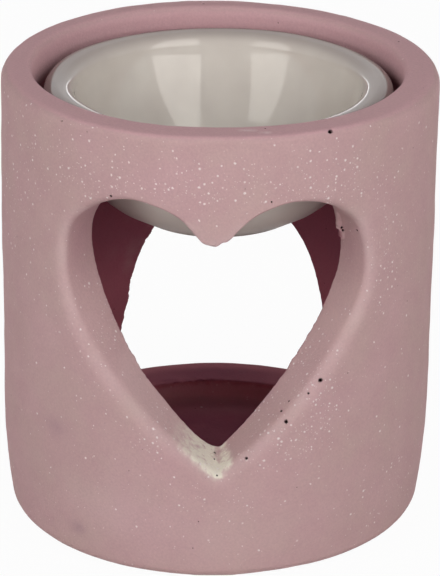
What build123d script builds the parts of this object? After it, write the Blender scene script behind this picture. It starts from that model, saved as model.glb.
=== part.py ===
from build123d import *
import os
from math import hypot, radians, tan

# Essential oil burner: a cast concrete drum with a heart window, and a loose oil dish in its mouth.
# Millimetres. +Z is up, the heart looks along -Y and the tealight doorway along +Y.
# The origin is on the table, under the middle of the drum.

# Drum, outside
drum_diameter = 84.0
rim_height = 90.0
foot_inset = 1.8
flare_height = 25.0
foot_edge_radius = 2.2
rim_outer_radius = 2.5
rim_inner_radius = 0.7

# Drum, inside
rim_wall = 6.4
mouth_depth = 7.0
ledge_width = 3.4
chamber_taper = 0.6
floor_height = 6.4
ledge_corner_radius = 0.8
seat_edge_radius = 0.6
floor_corner_radius = 2.0

drum_radius = drum_diameter / 2
foot_radius = drum_radius - foot_inset
mouth_radius = drum_radius - rim_wall
seat_radius = mouth_radius - ledge_width
chamber_radius = seat_radius - chamber_taper
ledge_height = rim_height - mouth_depth

# Heart window, drawn on the flat plane that touches the front of the drum
heart_side_margin = 7.0
heart_top_margin = 13.0
heart_tip_height = 22.2
heart_tip_radius = 2.2
heart_cleft_radius = 2.7
heart_side_draft = 29.5
heart_tip_draft = 8.0
heart_edge_radius = 0.9
# half outline from the tip up the flank, round the lobe and down to the cleft,
# in shares of the half width and of the height
heart_half_shares = (
    (0.385, 0.205),
    (0.823, 0.478),
    (1.0, 0.714),
    (0.85, 0.91),
    (0.53, 1.0),
    (0.25, 0.985),
    (0.1, 0.92),
)
heart_cleft_share = 0.832
heart_depth_share = 0.64

heart_half_width = drum_radius - heart_side_margin
heart_height = rim_height - heart_top_margin - heart_tip_height

# Doorway for the tealight, drawn on the plane that touches the chamber wall at the back
door_side_margin = 7.6
door_leg_height = 21.2
door_leg_lean = 4.0
door_sill_step = 3.1
door_side_draft = 20.0
door_top_draft = 6.0
door_corner_radius = 2.0
door_edge_radius = 0.9
door_depth_share = 0.4

door_half_width = chamber_radius - door_side_margin
door_sill_height = floor_height + door_sill_step

# Oil dish
dish_side_gap = 2.3
dish_rim_height = 4.1
dish_depth = 26.8
dish_foot_diameter = 30.0
dish_wall = 2.8
dish_neck_wall = 2.6
dish_lip_fall = 0.7
dish_bulge = 4.2
dish_inner_bulge = 3.6
dish_rim_top_radius = 1.5
dish_rim_under_radius = 0.8
dish_lip_radius = 0.9
dish_foot_radius = 2.5
dish_floor_radius = 5.0
dish_neck_gap = 0.9

dish_radius = mouth_radius - dish_side_gap

# Stick-on pads in their seats under the drum, on the corners of a square
pad_diameter = 10.0
pad_thickness = 1.6
pad_seat_depth = 1.1
pad_seat_clearance = 0.4
pad_margin = 21.8
pad_corner_shares = {
    "pad_front_left": (-1, -1),
    "pad_front_right": (1, -1),
    "pad_back_left": (-1, 1),
    "pad_back_right": (1, 1),
}

pad_offset = foot_radius - pad_margin
base_height = pad_thickness - pad_seat_depth

# One overrun for every cut
overrun = 1.0


def rounded(face, corner, radius):
    """A face with the corner nearest to a point rounded off."""
    place = Vector(corner)
    vertex = min(face.vertices(), key=lambda v: (Vector(v) - place).length)
    return fillet(vertex, radius)


def turned(outline, corners):
    """A solid of revolution from a half outline in (radius, height), with its corners rounded."""
    face = make_face(outline)
    for corner, corner_radius in corners:
        face = rounded(face, corner, corner_radius)
    return revolve(Plane.XZ * face, axis=Axis.Z)


def drum():
    """The plain drum: flared foot, stepped mouth and round chamber, before its openings are cut."""
    foot = (foot_radius, base_height)
    outer_rim = (drum_radius, rim_height)
    inner_rim = (mouth_radius, rim_height)
    ledge_outer = (mouth_radius, ledge_height)
    ledge_inner = (seat_radius, ledge_height)
    floor_edge = (chamber_radius, floor_height)
    wall_start = (drum_radius, flare_height)
    outline = [
        Line((0, base_height), foot),
        TangentArc(wall_start, foot, tangent=(0, -1)),
        Polyline(wall_start, outer_rim, inner_rim, ledge_outer, ledge_inner, floor_edge),
        Polyline(floor_edge, (0, floor_height), (0, base_height)),
    ]
    corners = [
        (foot, foot_edge_radius),
        (outer_rim, rim_outer_radius),
        (inner_rim, rim_inner_radius),
        (ledge_outer, ledge_corner_radius),
        (ledge_inner, seat_edge_radius),
        (floor_edge, floor_corner_radius),
    ]
    return turned(outline, corners)


def heart(depth):
    """The heart's face, at a depth behind the plane that touches the drum's front."""
    half_width = heart_half_width - depth * tan(radians(heart_side_draft))
    lift = depth * tan(radians(heart_tip_draft))
    height = heart_height - lift
    shrink = half_width / heart_half_width
    tip = Vector(0, heart_tip_height + lift)
    cleft = tip + Vector(0, heart_cleft_share * height)
    half = [tip + Vector(x * half_width, z * height) for x, z in heart_half_shares]
    flank = half[0]
    brow = half[-1]
    right = Spline(tip, *half, tangents=(flank - tip, cleft - brow))
    face = make_face([
        right,
        Polyline(brow, cleft, Vector(-brow.X, brow.Y)),
        mirror(right, Plane.YZ),
    ])
    face = rounded(face, tip, heart_tip_radius * shrink)
    face = rounded(face, cleft, heart_cleft_radius * shrink)
    return Plane.XZ.offset(drum_radius - depth) * face


def heart_cutter():
    """The tapered heart that is pushed through the front wall."""
    return loft([heart(-overrun), heart(drum_radius * heart_depth_share)], ruled=True)


def doorway(depth):
    """The doorway's face, at a depth in front of the plane that touches the drum's back."""
    wall = drum_radius - chamber_radius
    half_width = door_half_width + (wall - depth) * tan(radians(door_side_draft))
    spring = door_sill_height + door_leg_height
    half_spring = half_width - door_leg_height * tan(radians(door_leg_lean))
    crown = spring + half_spring - depth * tan(radians(door_top_draft))
    foot_left = (-half_width, door_sill_height)
    foot_right = (half_width, door_sill_height)
    face = make_face([
        Polyline((-half_spring, spring), foot_left, foot_right, (half_spring, spring)),
        ThreePointArc((half_spring, spring), (0, crown), (-half_spring, spring)),
    ])
    for corner in (foot_left, foot_right):
        face = rounded(face, corner, door_corner_radius)
    return Plane.XZ.offset(depth - drum_radius) * face


def door_cutter():
    """The tapered arch that is pushed through the back wall."""
    return loft([doorway(-overrun), doorway(drum_radius * (1 - door_depth_share))], ruled=True)


def pad_place(name):
    """Where a pad's middle lies under the drum."""
    side_share, depth_share = pad_corner_shares[name]
    return side_share * pad_offset, depth_share * pad_offset


def pad(name):
    """One round pad, from the table up into its seat."""
    x, y = pad_place(name)
    return Pos(x, y, pad_thickness / 2) * Cylinder(pad_diameter / 2, pad_thickness)


def pad_seat(name):
    """The shallow round seat that is cast for one pad."""
    x, y = pad_place(name)
    height = pad_seat_depth + overrun
    middle = base_height + pad_seat_depth - height / 2
    return Pos(x, y, middle) * Cylinder(pad_diameter / 2 + pad_seat_clearance, height)


def opened(cast, cutter, edge_radius):
    """The casting with an opening cut through its wall, and the opening's outer edge rounded."""
    cut = cast - cutter
    mid_wall = (drum_radius + chamber_radius) / 2
    outer_edges = []
    for edge in new_edges(cast, cutter, combined=cut):
        middle = edge @ 0.5
        if Vector(middle.X, middle.Y, 0).length > mid_wall:
            outer_edges.append(edge)
    return fillet(outer_edges, edge_radius)


def body():
    """The concrete casting."""
    cast = drum()
    cast = opened(cast, heart_cutter(), heart_edge_radius)
    cast = opened(cast, door_cutter(), door_edge_radius)
    for name in pad_corner_shares:
        cast -= pad_seat(name)
    return cast


def dish():
    """The glazed oil dish: a rounded bowl with a flat lip that lies on the ledge."""
    seat = ledge_height
    rim = seat + dish_rim_height
    foot_height = rim - dish_depth
    neck = (seat_radius - dish_neck_gap, seat)
    foot = (dish_foot_diameter / 2, foot_height)
    under_rim = (dish_radius, seat)
    over_rim = (dish_radius, rim)
    lip_inner = (neck[0] - dish_neck_wall, rim - dish_lip_fall)
    floor_edge = (foot[0] - dish_wall, foot_height + dish_wall)
    outline = [
        Line((0, foot_height), foot),
        Bezier(foot, bulged(foot, neck, dish_bulge), neck),
        Polyline(neck, under_rim, over_rim, lip_inner),
        Bezier(lip_inner, bulged(floor_edge, lip_inner, dish_inner_bulge), floor_edge),
        Polyline(floor_edge, (0, foot_height + dish_wall), (0, foot_height)),
    ]
    corners = [
        (foot, dish_foot_radius),
        (under_rim, dish_rim_under_radius),
        (over_rim, dish_rim_top_radius),
        (lip_inner, dish_lip_radius),
        (floor_edge, dish_floor_radius),
    ]
    return turned(outline, corners)


def bulged(low, high, bulge):
    """The pull point of a curve from low to high that swells outward by a bulge."""
    run = high[0] - low[0]
    rise = high[1] - low[1]
    length = hypot(run, rise)
    across = (low[0] + run / 2, low[1] + rise / 2)
    return across[0] + 2 * bulge * rise / length, across[1] - 2 * bulge * run / length


os.makedirs("parts", exist_ok=True)
export_step(body(), "parts/body.step")
export_step(dish(), "parts/dish.step")
for pad_name in pad_corner_shares:
    export_step(pad(pad_name), f"parts/{pad_name}.step")
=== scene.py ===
import math

import bmesh
import bpy
import numpy as np
from mathutils import Matrix, Vector
from mathutils.bvhtree import BVHTree


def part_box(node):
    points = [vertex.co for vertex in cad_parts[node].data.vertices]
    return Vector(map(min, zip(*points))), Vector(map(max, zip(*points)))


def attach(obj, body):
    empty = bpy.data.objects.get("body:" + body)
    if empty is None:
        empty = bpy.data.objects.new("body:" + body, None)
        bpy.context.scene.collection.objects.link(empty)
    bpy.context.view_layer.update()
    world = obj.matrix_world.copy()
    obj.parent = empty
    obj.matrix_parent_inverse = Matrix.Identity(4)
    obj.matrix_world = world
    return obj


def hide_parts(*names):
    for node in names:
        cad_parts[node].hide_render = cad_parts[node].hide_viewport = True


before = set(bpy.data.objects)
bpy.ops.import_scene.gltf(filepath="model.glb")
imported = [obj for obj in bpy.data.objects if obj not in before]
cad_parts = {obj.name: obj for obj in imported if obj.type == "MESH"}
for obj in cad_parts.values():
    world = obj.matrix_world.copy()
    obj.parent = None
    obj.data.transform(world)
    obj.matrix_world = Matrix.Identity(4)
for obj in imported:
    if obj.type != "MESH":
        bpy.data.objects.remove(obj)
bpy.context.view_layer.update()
mm = 0.001
print("frame loaded:", sorted(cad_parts))

# Camera: lens and aim as the photograph's perspective gives them
cameraSetup = {
    "photoWidth": 440,
    "photoHeight": 576,
    "focalPixels": 3207.6,      # focal length in photo pixels
    "distance": 630.65,         # mm from the aim point
    "elevation": 22.66,         # degrees above the table
    "aimHeight": 44.87,         # mm above the table
    "aimPixel": (217.37, 282.34),
    "sensor": 36.0,
}


def newObject(name, data):
    piece = bpy.data.objects.new(name, data)
    bpy.context.scene.collection.objects.link(piece)
    return piece


def buildCamera(setup):
    longSide = setup["photoHeight"]
    tilt = math.radians(setup["elevation"])
    data = bpy.data.cameras.new("studioCamera")
    data.sensor_width = setup["sensor"]
    data.lens = setup["focalPixels"] / longSide * setup["sensor"]
    data.shift_x = (setup["photoWidth"] / 2 - setup["aimPixel"][0]) / longSide
    data.shift_y = (setup["aimPixel"][1] - setup["photoHeight"] / 2) / longSide
    camera = newObject("studioCamera", data)
    reach = setup["distance"] * mm
    camera.location = (0, -reach * math.cos(tilt), setup["aimHeight"] * mm + reach * math.sin(tilt))
    camera.rotation_euler = (math.pi / 2 - tilt, 0, 0)
    bpy.context.scene.camera = camera


def sightLine(setup, pixel):
    # where the camera stands, in mm, and which way it sees one pixel of the photograph
    tilt = math.radians(setup["elevation"])
    back = Vector((0, -math.cos(tilt), math.sin(tilt)))
    up = Vector((0, math.sin(tilt), math.cos(tilt)))
    side = (pixel[0] - setup["aimPixel"][0]) / setup["focalPixels"]
    rise = (setup["aimPixel"][1] - pixel[1]) / setup["focalPixels"]
    stand = Vector((0, 0, setup["aimHeight"])) + back * setup["distance"]
    return stand, (Vector((1, 0, 0)) * side + up * rise - back).normalized()


buildCamera(cameraSetup)
print("camera placed")

# Studio: white floor, white surroundings and two tall softboxes
studio = {
    "floorSize": 6.0,           # m
    "floorWhite": 0.8,
    "shadowShare": 0.04,        # how much of the real floor the camera sees
    "roomLight": (0.55, 0.04),   # brightness of the room's walls and of its ceiling
    "roomTurn": (0.25, 0.60),   # from wall to ceiling, as the upward share of the direction
    "reach": 0.7,               # m from the dish to the middle of each softbox
    "aimHeight": 0.075,
    # place and facing in degrees (turn from the camera's side, height), roll, size in m, then the
    # brightness of the light given and of what the glaze mirrors
    "softboxes": {
        "softboxRight": {"place": (40.5, 45.6), "facing": (26.7, -7.1), "roll": -6.0, "size": (0.337, 0.835),
                         "level": 2.5, "shine": 2.9},
        "softboxLeft": {"place": (-49.4, 38.3), "facing": (-39.8, -10.7), "roll": 8.9, "size": (0.283, 0.727),
                        "level": 2.85, "shine": 2.5},
    },
    "shineTint": (1.0, 0.97, 0.91),
    # the low white strip behind the table that the dish's rim mirrors
    "backStrip": {"place": (180.0, 4.0), "reach": 0.9, "size": (1.4, 0.16), "shine": 2.0},
    # low, wide fill lights that nothing mirrors: turn and height in degrees, m away, size, brightness
    "fills": {
        "fillFront": {"place": (0.0, 12.0), "reach": 0.9, "size": (1.0, 0.3), "level": 1.3},
        "fillBack": {"place": (180.0, 12.0), "reach": 0.9, "size": (1.4, 0.3), "level": 2.5},
    },
}


def addNode(tree, kind, **inputs):
    node = tree.nodes.new(kind)
    for name, value in inputs.items():
        setInput(tree, node, name.replace("_", " "), value)
    return node


def setInput(tree, node, name, value):
    socket = node.inputs[name]
    if isinstance(value, bpy.types.NodeSocket):
        tree.links.new(value, socket)
    else:
        socket.default_value = value


def cameraSees(tree):
    # 1 for what the camera sees, straight or by reflection, and 0 for what lights the object
    path = tree.nodes.new("ShaderNodeLightPath")
    seen = path.outputs["Is Camera Ray"]
    for name in ("Is Glossy Ray", "Is Transmission Ray"):
        seen = mathNode(tree, "MAXIMUM", seen, path.outputs[name])
    return seen


def mathNode(tree, operation, first, second=0.0, clamp=False):
    node = tree.nodes.new("ShaderNodeMath")
    node.operation = operation
    node.use_clamp = clamp
    setInput(tree, node, 0, first)
    setInput(tree, node, 1, second)
    return node.outputs[0]


def scaled(tree, value, factor, offset=0.0, clamp=True):
    # value times factor plus offset
    node = tree.nodes.new("ShaderNodeMath")
    node.operation = "MULTIPLY_ADD"
    node.use_clamp = clamp
    setInput(tree, node, 0, value)
    setInput(tree, node, 1, factor)
    setInput(tree, node, 2, offset)
    return node.outputs[0]


def buildWorld(setup):
    world = bpy.data.worlds.new("studioRoom")
    bpy.context.scene.world = world
    world.use_nodes = True
    tree = world.node_tree
    tree.nodes.clear()
    way = tree.nodes.new("ShaderNodeSeparateXYZ")
    tree.links.new(tree.nodes.new("ShaderNodeTexCoord").outputs["Generated"], way.inputs[0])
    low, high = setup["roomTurn"]
    share = scaled(tree, way.outputs["Z"], 1 / (high - low), -low / (high - low))
    walls, ceiling = setup["roomLight"]
    lit = addNode(tree, "ShaderNodeBackground", Strength=scaled(tree, share, ceiling - walls, walls))
    shown = addNode(tree, "ShaderNodeBackground", Strength=1.0)
    for background in (lit, shown):
        background.inputs["Color"].default_value = (1, 1, 1, 1)
    mix = tree.nodes.new("ShaderNodeMixShader")
    tree.links.new(cameraSees(tree), mix.inputs[0])
    tree.links.new(lit.outputs[0], mix.inputs[1])
    tree.links.new(shown.outputs[0], mix.inputs[2])
    out = tree.nodes.new("ShaderNodeOutputWorld")
    tree.links.new(mix.outputs[0], out.inputs[0])


def buildFloor(setup):
    bm = bmesh.new()
    bmesh.ops.create_grid(bm, x_segments=1, y_segments=1, size=setup["floorSize"] / 2)
    mesh = bpy.data.meshes.new("studioFloor")
    bm.to_mesh(mesh)
    bm.free()
    floor = newObject("studioFloor", mesh)
    material = bpy.data.materials.new("studioFloor")
    material.use_nodes = True
    tree = material.node_tree
    tree.nodes.clear()
    white = setup["floorWhite"]
    paper = addNode(tree, "ShaderNodeBsdfDiffuse", Color=(white, white, white, 1))
    glow = addNode(tree, "ShaderNodeEmission", Color=(1, 1, 1, 1), Strength=1.0)
    share = mathNode(tree, "MULTIPLY", cameraSees(tree), 1 - setup["shadowShare"])
    mix = tree.nodes.new("ShaderNodeMixShader")
    tree.links.new(share, mix.inputs[0])
    tree.links.new(paper.outputs[0], mix.inputs[1])
    tree.links.new(glow.outputs[0], mix.inputs[2])
    out = tree.nodes.new("ShaderNodeOutputMaterial")
    tree.links.new(mix.outputs[0], out.inputs[0])
    mesh.materials.append(material)


def placeLamp(name, aim, box, facing, reach, level, mirrored):
    data = bpy.data.lights.new(name, "AREA")
    data.shape = "RECTANGLE"
    data.size, data.size_y = box["size"]
    data.energy = level * math.pi * data.size * data.size_y
    data.cycles.use_multiple_importance_sampling = mirrored
    lamp = newObject(name, data)
    turn, height = (math.radians(angle) for angle in box["place"])
    way = Vector((math.sin(turn) * math.cos(height), -math.cos(turn) * math.cos(height), math.sin(height)))
    lamp.location = aim + way * reach
    turn, height = (math.radians(angle) for angle in facing)
    stand = Matrix.Rotation(turn, 3, "Z") @ Matrix.Rotation(math.pi / 2 - height, 3, "X")
    lamp.rotation_euler = (stand @ Matrix.Rotation(math.radians(box.get("roll", 0)), 3, "Z")).to_euler()
    lamp.visible_diffuse = not mirrored
    lamp.visible_glossy = mirrored
    lamp.visible_camera = False
    return data


def buildLights(setup):
    aim = Vector((0, 0, setup["aimHeight"]))
    for name, box in setup["softboxes"].items():
        placeLamp(name, aim, box, box["facing"], setup["reach"], box["level"], False)
        shine = placeLamp(name + "_mirrored", aim, box, box["facing"], setup["reach"], box["shine"], True)
        shine.color = setup["shineTint"]
    strip = setup["backStrip"]
    placeLamp("backStrip", aim, strip, strip["place"], strip["reach"], strip["shine"], True)
    for name, box in setup["fills"].items():
        placeLamp(name, aim, box, box["place"], box["reach"], box["level"], False)


bpy.context.scene.view_settings.view_transform = "Standard"
buildWorld(studio)
buildFloor(studio)
buildLights(studio)
print("studio lit")

# The casting's shape, in mm, as a field that is negative inside the concrete. A value called Turn
# gives the two places between which another value sets in or changes
castShape = {
    "radius": 42.0,
    "flareInset": 1.8,          # how far the foot is drawn in
    "flareHeight": 25.0,
    "flareEnd": 1.2,            # how far down the flare goes on, in shares of its height
    "footHeight": 0.5,
    "rimHeight": 90.0,
    "rimSlope": 0.0140,         # the rim and ledge fall this much per mm to the right
    "rimRound": (1.3, 2.5),     # front and back
    "rimRoundTurn": (-39.0, -15.0),
    "rimLift": 0.4,             # the rim stands this much higher at the front right
    "rimLiftTurn": ((-22.0, -38.0), (-16.0, 2.0)),      # y and x
    "footRound": 2.2,
    "mouthRadius": 35.6,
    "mouthShift": -0.45,        # to the right
    "mouthRound": (0.7, 2.0),   # the rim's inner edge, front and back
    "mouthRoundTurn": (-18.0, 16.0),
    "ledgeHeight": 83.0,
    "ledgeSlope": 0.0062,
    "ledgeRound": 0.8,
    "seatRadius": 32.2,
    "seatRound": 0.6,
    "chamberRadius": 31.6,
    "floorHeight": 6.4,
    "floorRound": 2.0,
    "innerRadius": 32.0,        # where the inner window outlines are drawn
    "windowReach": 6.0,         # the windows end this far from the middle
    "windowRound": (2.6, 1.9),  # outer edge of the heart, low and high
    "windowRoundTurn": (40.0, 62.0),
    "nubRound": 0.65,           # and between its lobes
    "nubTurn": ((60.0, 68.0), (24.0, 12.0)),    # height, and nearness to the middle
    "doorRound": 0.9,
    "innerRound": 0.3,
    "innerTurn": (0.6, 0.4),    # from the inner to the outer rounding, in shares of the wall
    "padSeat": (5.4, 1.6, 18.4),    # radius, top, offset from the middle
    "lean": 0.0138,             # the whole casting leans to the right,
    "leanHeight": 45.0,         # about this height
    "waves": ((14.0, 0.13), (3.2, 0.045)),      # size of the unevenness, and its height
    # the notches in the windows' inner edges: sizes and depths, the share of the wall where they
    # begin and are full, how far from the edge they are worked out, the height where the heart's
    # are deepest, its spread and their share elsewhere, and that on the door's left side
    "ragged": ((1.6, 0.12), (0.75, 0.17)),
    "raggedTurn": (0.75, 0.95),
    "raggedBand": 2.0,
    "raggedHeart": (43.0, 6.0, 0.35),
    "raggedDoor": 0.8,
    # the thin flake in the heart's right side: its width, the height where it ends and over how
    # much it fades, its broken lower end, and the share of the wall where it stands
    "flake": (1.25, 70.8, 7.0),
    "flakeTurn": ((63.6, 63.95), (0.84, 0.9)),
}

# Window outlines (x, z), going round from the bottom
heartOutside = (
    (0.3, 22.6), (-2.6, 24.8), (-8.2, 29.2), (-14.7, 35.2), (-20.6, 41.6), (-25.4, 48.3),
    (-28.1, 55.0), (-28.9, 62.0), (-28.0, 69.0), (-24.6, 73.4), (-20.2, 76.1), (-15.6, 77.1),
    (-10.8, 76.1), (-7.3, 74.3), (-5.3, 72.2), (-4.1, 70.8), (-3.1, 69.7), (-1.9, 69.3), (-0.7, 69.05),
    (0.0, 69.35), (0.6, 69.85), (1.5, 70.0), (2.5, 70.8), (3.5, 72.0), (5.8, 74.2), (9.0, 75.9),
    (13.4, 76.9), (18.4, 76.1), (23.2, 73.4),
    (26.4, 69.2), (27.9, 62.0), (27.3, 55.6), (24.6, 49.6), (20.4, 43.2), (15.4, 36.8),
    (10.0, 31.0), (5.2, 26.8), (2.4, 24.4),
)
heartInside = (
    (0.3, 24.5), (-2.1, 25.6), (-5.0, 28.2), (-10.6, 34.5), (-14.6, 39.5), (-17.8, 45.1),
    (-20.4, 50.5), (-22.4, 56.0), (-23.6, 61.5), (-23.6, 66.0), (-22.3, 70.2), (-18.6, 74.8),
    (-13.8, 77.0), (-9.4, 76.0), (-6.2, 73.9), (-3.7, 71.3), (-2.0, 70.1), (-0.7, 69.7),
    (0.5, 70.2), (2.1, 71.4), (4.7, 74.0), (7.8, 76.0), (12.2, 77.0), (17.6, 74.6),
    (21.2, 70.2), (22.5, 66.4), (22.8, 61.5), (22.2, 57.0), (20.2, 51.6), (17.4, 46.0),
    (13.8, 40.2), (9.2, 34.2), (3.8, 27.8), (1.6, 25.5),
)
doorOutside = (
    (0.8, 9.4), (-23.0, 9.5), (-24.0, 11.5), (-23.2, 22.0), (-22.3, 33.0), (-19.1, 44.3),
    (-14.1, 51.0), (-7.4, 55.4), (0.8, 57.0), (9.0, 55.4), (15.9, 51.0), (20.9, 44.3),
    (24.2, 33.0), (25.0, 22.0), (25.7, 11.5), (24.8, 9.5),
)
doorInside = (
    (1.4, 9.4), (-19.2, 9.5), (-20.3, 11.6), (-19.6, 23.2), (-18.2, 30.0), (-17.5, 34.2),
    (-16.2, 38.6), (-14.0, 42.9), (-10.6, 47.0), (-5.2, 50.4), (1.4, 51.6), (8.0, 50.4),
    (13.6, 47.6), (17.0, 43.7), (19.3, 39.2), (20.8, 34.1), (21.7, 29.8), (22.4, 21.0),
    (22.9, 11.6), (21.9, 9.5),
)
outlineGrid = {"reach": 44.0, "step": 0.4, "between": 6}   # mm, and points between two outline points


def smoothLoop(points, between):
    # a closed curve through the points
    points = np.array(points, float)
    before, after, afterNext = np.roll(points, 1, 0), np.roll(points, -1, 0), np.roll(points, -2, 0)
    steps = []
    for share in np.arange(between) / between:
        steps.append(
            0.5 * (2 * points + (after - before) * share
                   + (2 * before - 5 * points + 4 * after - afterNext) * share ** 2
                   + (3 * points - before - 3 * after + afterNext) * share ** 3)
        )
    return np.stack(steps, 1).reshape(-1, 2)


class WindowOutline:
    # how far a place is from an outline, negative inside it, read off a fine grid

    def __init__(self, points, setup):
        self.step = setup["step"]
        self.low = -setup["reach"]
        x = np.arange(self.low, setup["reach"], self.step)
        z = x - self.low
        gridX, gridZ = np.meshgrid(x, z, indexing="ij")
        nearest = np.full(gridX.shape, 1e9)
        inside = np.zeros(gridX.shape, bool)
        loop = smoothLoop(points, setup["between"])
        for (ax, az), (bx, bz) in zip(loop, np.roll(loop, -1, 0)):
            alongX, alongZ = bx - ax, bz - az
            share = ((gridX - ax) * alongX + (gridZ - az) * alongZ) / (alongX ** 2 + alongZ ** 2)
            share = np.clip(share, 0, 1)
            gap = (gridX - ax - share * alongX) ** 2 + (gridZ - az - share * alongZ) ** 2
            nearest = np.minimum(nearest, gap)
            if az != bz:
                crosses = (gridZ < az) != (gridZ < bz)
                inside ^= crosses & (gridX < ax + (gridZ - az) * alongX / alongZ)
        self.gap = np.where(inside, -1, 1) * np.sqrt(nearest)

    def distance(self, x, z):
        last = len(self.gap) - 1.001
        u = np.clip((x - self.low) / self.step, 0, last)
        v = np.clip(z / self.step, 0, last)
        i, j = u.astype(int), v.astype(int)
        u, v = u - i, v - j
        left = self.gap[i, j] * (1 - v) + self.gap[i, j + 1] * v
        right = self.gap[i + 1, j] * (1 - v) + self.gap[i + 1, j + 1] * v
        return left * (1 - u) + right * u


noiseSide, noiseSeed = 32, 11
noiseTable = np.random.default_rng(noiseSeed).uniform(-1, 1, (noiseSide,) * 3)


def softNoise(points, size):
    # smooth unevenness between -1 and 1, with lumps of this size
    places = points / size
    cell = np.floor(places).astype(int)
    share = places - cell
    share = share * share * (3 - 2 * share)
    total = np.zeros(len(points))
    shares = np.stack((1 - share, share))
    cells = np.stack((cell, cell + 1)) % noiseSide
    for i, j, k in np.ndindex(2, 2, 2):
        weight = shares[i, :, 0] * shares[j, :, 1] * shares[k, :, 2]
        total += weight * noiseTable[cells[i, :, 0], cells[j, :, 1], cells[k, :, 2]]
    return total


def ramp(value, low, high):
    # 0 at low and 1 at high, with a soft start and end
    share = np.clip((value - low) / (high - low), 0, 1)
    return share * share * (3 - 2 * share)


def roundedOverlap(first, second, radius):
    # where both forms are, with the edge between them rounded
    return (np.minimum(np.maximum(first, second), -radius)
            + np.hypot(np.maximum(first + radius, 0), np.maximum(second + radius, 0)))


heartOuter, heartInner, doorOuter, doorInner = (
    WindowOutline(points, outlineGrid) for points in (heartOutside, heartInside, doorOutside, doorInside)
)


def windowField(points, wide, outer, inner, front):
    # one window's void through the wall, negative inside it, and the share of the wall in front
    s = castShape
    x, z = points[:, 0], points[:, 2]
    depth = (s["radius"] - wide) / (s["radius"] - s["innerRadius"])
    void = (1 - depth) * outer.distance(x, z) + depth * inner.distance(x, z)
    edge = np.flatnonzero((depth > s["raggedTurn"][0]) & (np.abs(void) < s["raggedBand"]))
    height, spread, elsewhere = s["raggedHeart"]
    if front:
        strength = elsewhere + (1 - elsewhere) * np.exp(-((z[edge] - height) / spread) ** 2)
    else:
        strength = np.where(x[edge] < 0, s["raggedDoor"], elsewhere)
    strength *= ramp(depth[edge], *s["raggedTurn"])
    for size, notch in s["ragged"]:
        void[edge] += softNoise(points[edge] + size, size) * notch * strength
    behind = points[:, 1] if front else -points[:, 1]
    return np.maximum(void, behind + s["windowReach"]), depth


def flake(points, depth):
    # how far the flake stands into the heart
    z = points[:, 2]
    width, top, fade = castShape["flake"]
    lower, inner = castShape["flakeTurn"]
    reach = width * np.clip((top - z) / fade, 0, 1) * ramp(z, *lower)
    return reach * ramp(depth, *inner) * (points[:, 0] > 0)


def rimTop(points):
    # how high a place is above the rim's flat top
    x, y, z = points.T
    front, right = castShape["rimLiftTurn"]
    lift = castShape["rimLift"] * ramp(y, *front) * ramp(x, *right)
    return z - castShape["rimHeight"] + castShape["rimSlope"] * x - lift


def chamberGap(wide, z):
    # how far a place is outside the chamber's wall, which widens upwards
    s = castShape
    taper = (s["seatRadius"] - s["chamberRadius"]) * np.clip(z / s["ledgeHeight"], 0, 1)
    return wide - s["chamberRadius"] - taper


def castField(points):
    s = castShape
    x, y, z = points.T
    wide = np.hypot(x, y)
    drop = np.clip((s["flareHeight"] - z) / (s["flareHeight"] - s["footHeight"]), 0, s["flareEnd"])
    wall = wide - s["radius"] + s["flareInset"] * drop ** 2
    front, back = s["rimRound"]
    outside = roundedOverlap(wall, rimTop(points), front + (back - front) * ramp(y, *s["rimRoundTurn"]))
    outside = roundedOverlap(outside, s["footHeight"] - z, s["footRound"])
    ledge = s["ledgeHeight"] - s["ledgeSlope"] * x
    chamber = roundedOverlap(chamberGap(wide, z), s["floorHeight"] - z, s["floorRound"])
    mouth = roundedOverlap(np.hypot(x - s["mouthShift"], y) - s["mouthRadius"], ledge - z, s["ledgeRound"])
    inside = roundedOverlap(-chamber, -mouth, s["seatRound"])
    front, back = s["mouthRound"]
    cast = roundedOverlap(outside, inside, front + (back - front) * ramp(y, *s["mouthRoundTurn"]))
    heart, depth = windowField(points, wide, heartOuter, heartInner, True)
    heart += flake(points, depth)
    low, high = s["windowRound"]
    edge = low + (high - low) * ramp(z, *s["windowRoundTurn"])
    nubHeight, nubMiddle = s["nubTurn"]
    edge += (s["nubRound"] - edge) * ramp(z, *nubHeight) * ramp(np.abs(x), *nubMiddle)
    edge = s["innerRound"] + (edge - s["innerRound"]) * ramp(depth, *s["innerTurn"])
    cast = roundedOverlap(cast, -heart, edge)
    door, depth = windowField(points, wide, doorOuter, doorInner, False)
    edge = s["innerRound"] + (s["doorRound"] - s["innerRound"]) * ramp(depth, *s["innerTurn"])
    cast = roundedOverlap(cast, -door, edge)
    seatRadius, seatTop, offset = s["padSeat"]
    seat = np.maximum(np.hypot(np.abs(x) - offset, np.abs(y) - offset) - seatRadius, z - seatTop)
    return np.maximum(cast, -seat)


# How the casting's mesh is made from the field
castMesh = {
    "voxel": 0.98,              # mm
    "probe": 0.02,              # step over which the field's slope is taken
    "leastSlope": 0.05,         # squared
    "longestMove": 1.2,
    "relax": 0.5,               # share of the way to the middle of its neighbours
    "settle": 3,                # rounds of evening out at each level,
    "lastMoves": 3,             # and of moves onto the field after them
    "splitTurn": 0.30,          # an edge is split where the surface turns more than this, in radians
    "shortest": 0.24,           # mm
    "splits": 3,
}


def unit(vectors):
    return vectors / np.linalg.norm(vectors, axis=1)[:, None]


def fieldSlope(points):
    value = castField(points)
    slope = np.empty_like(points)
    for axis in range(3):
        moved = points.copy()
        moved[:, axis] += castMesh["probe"]
        slope[:, axis] = (castField(moved) - value) / castMesh["probe"]
    return value, slope


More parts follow.
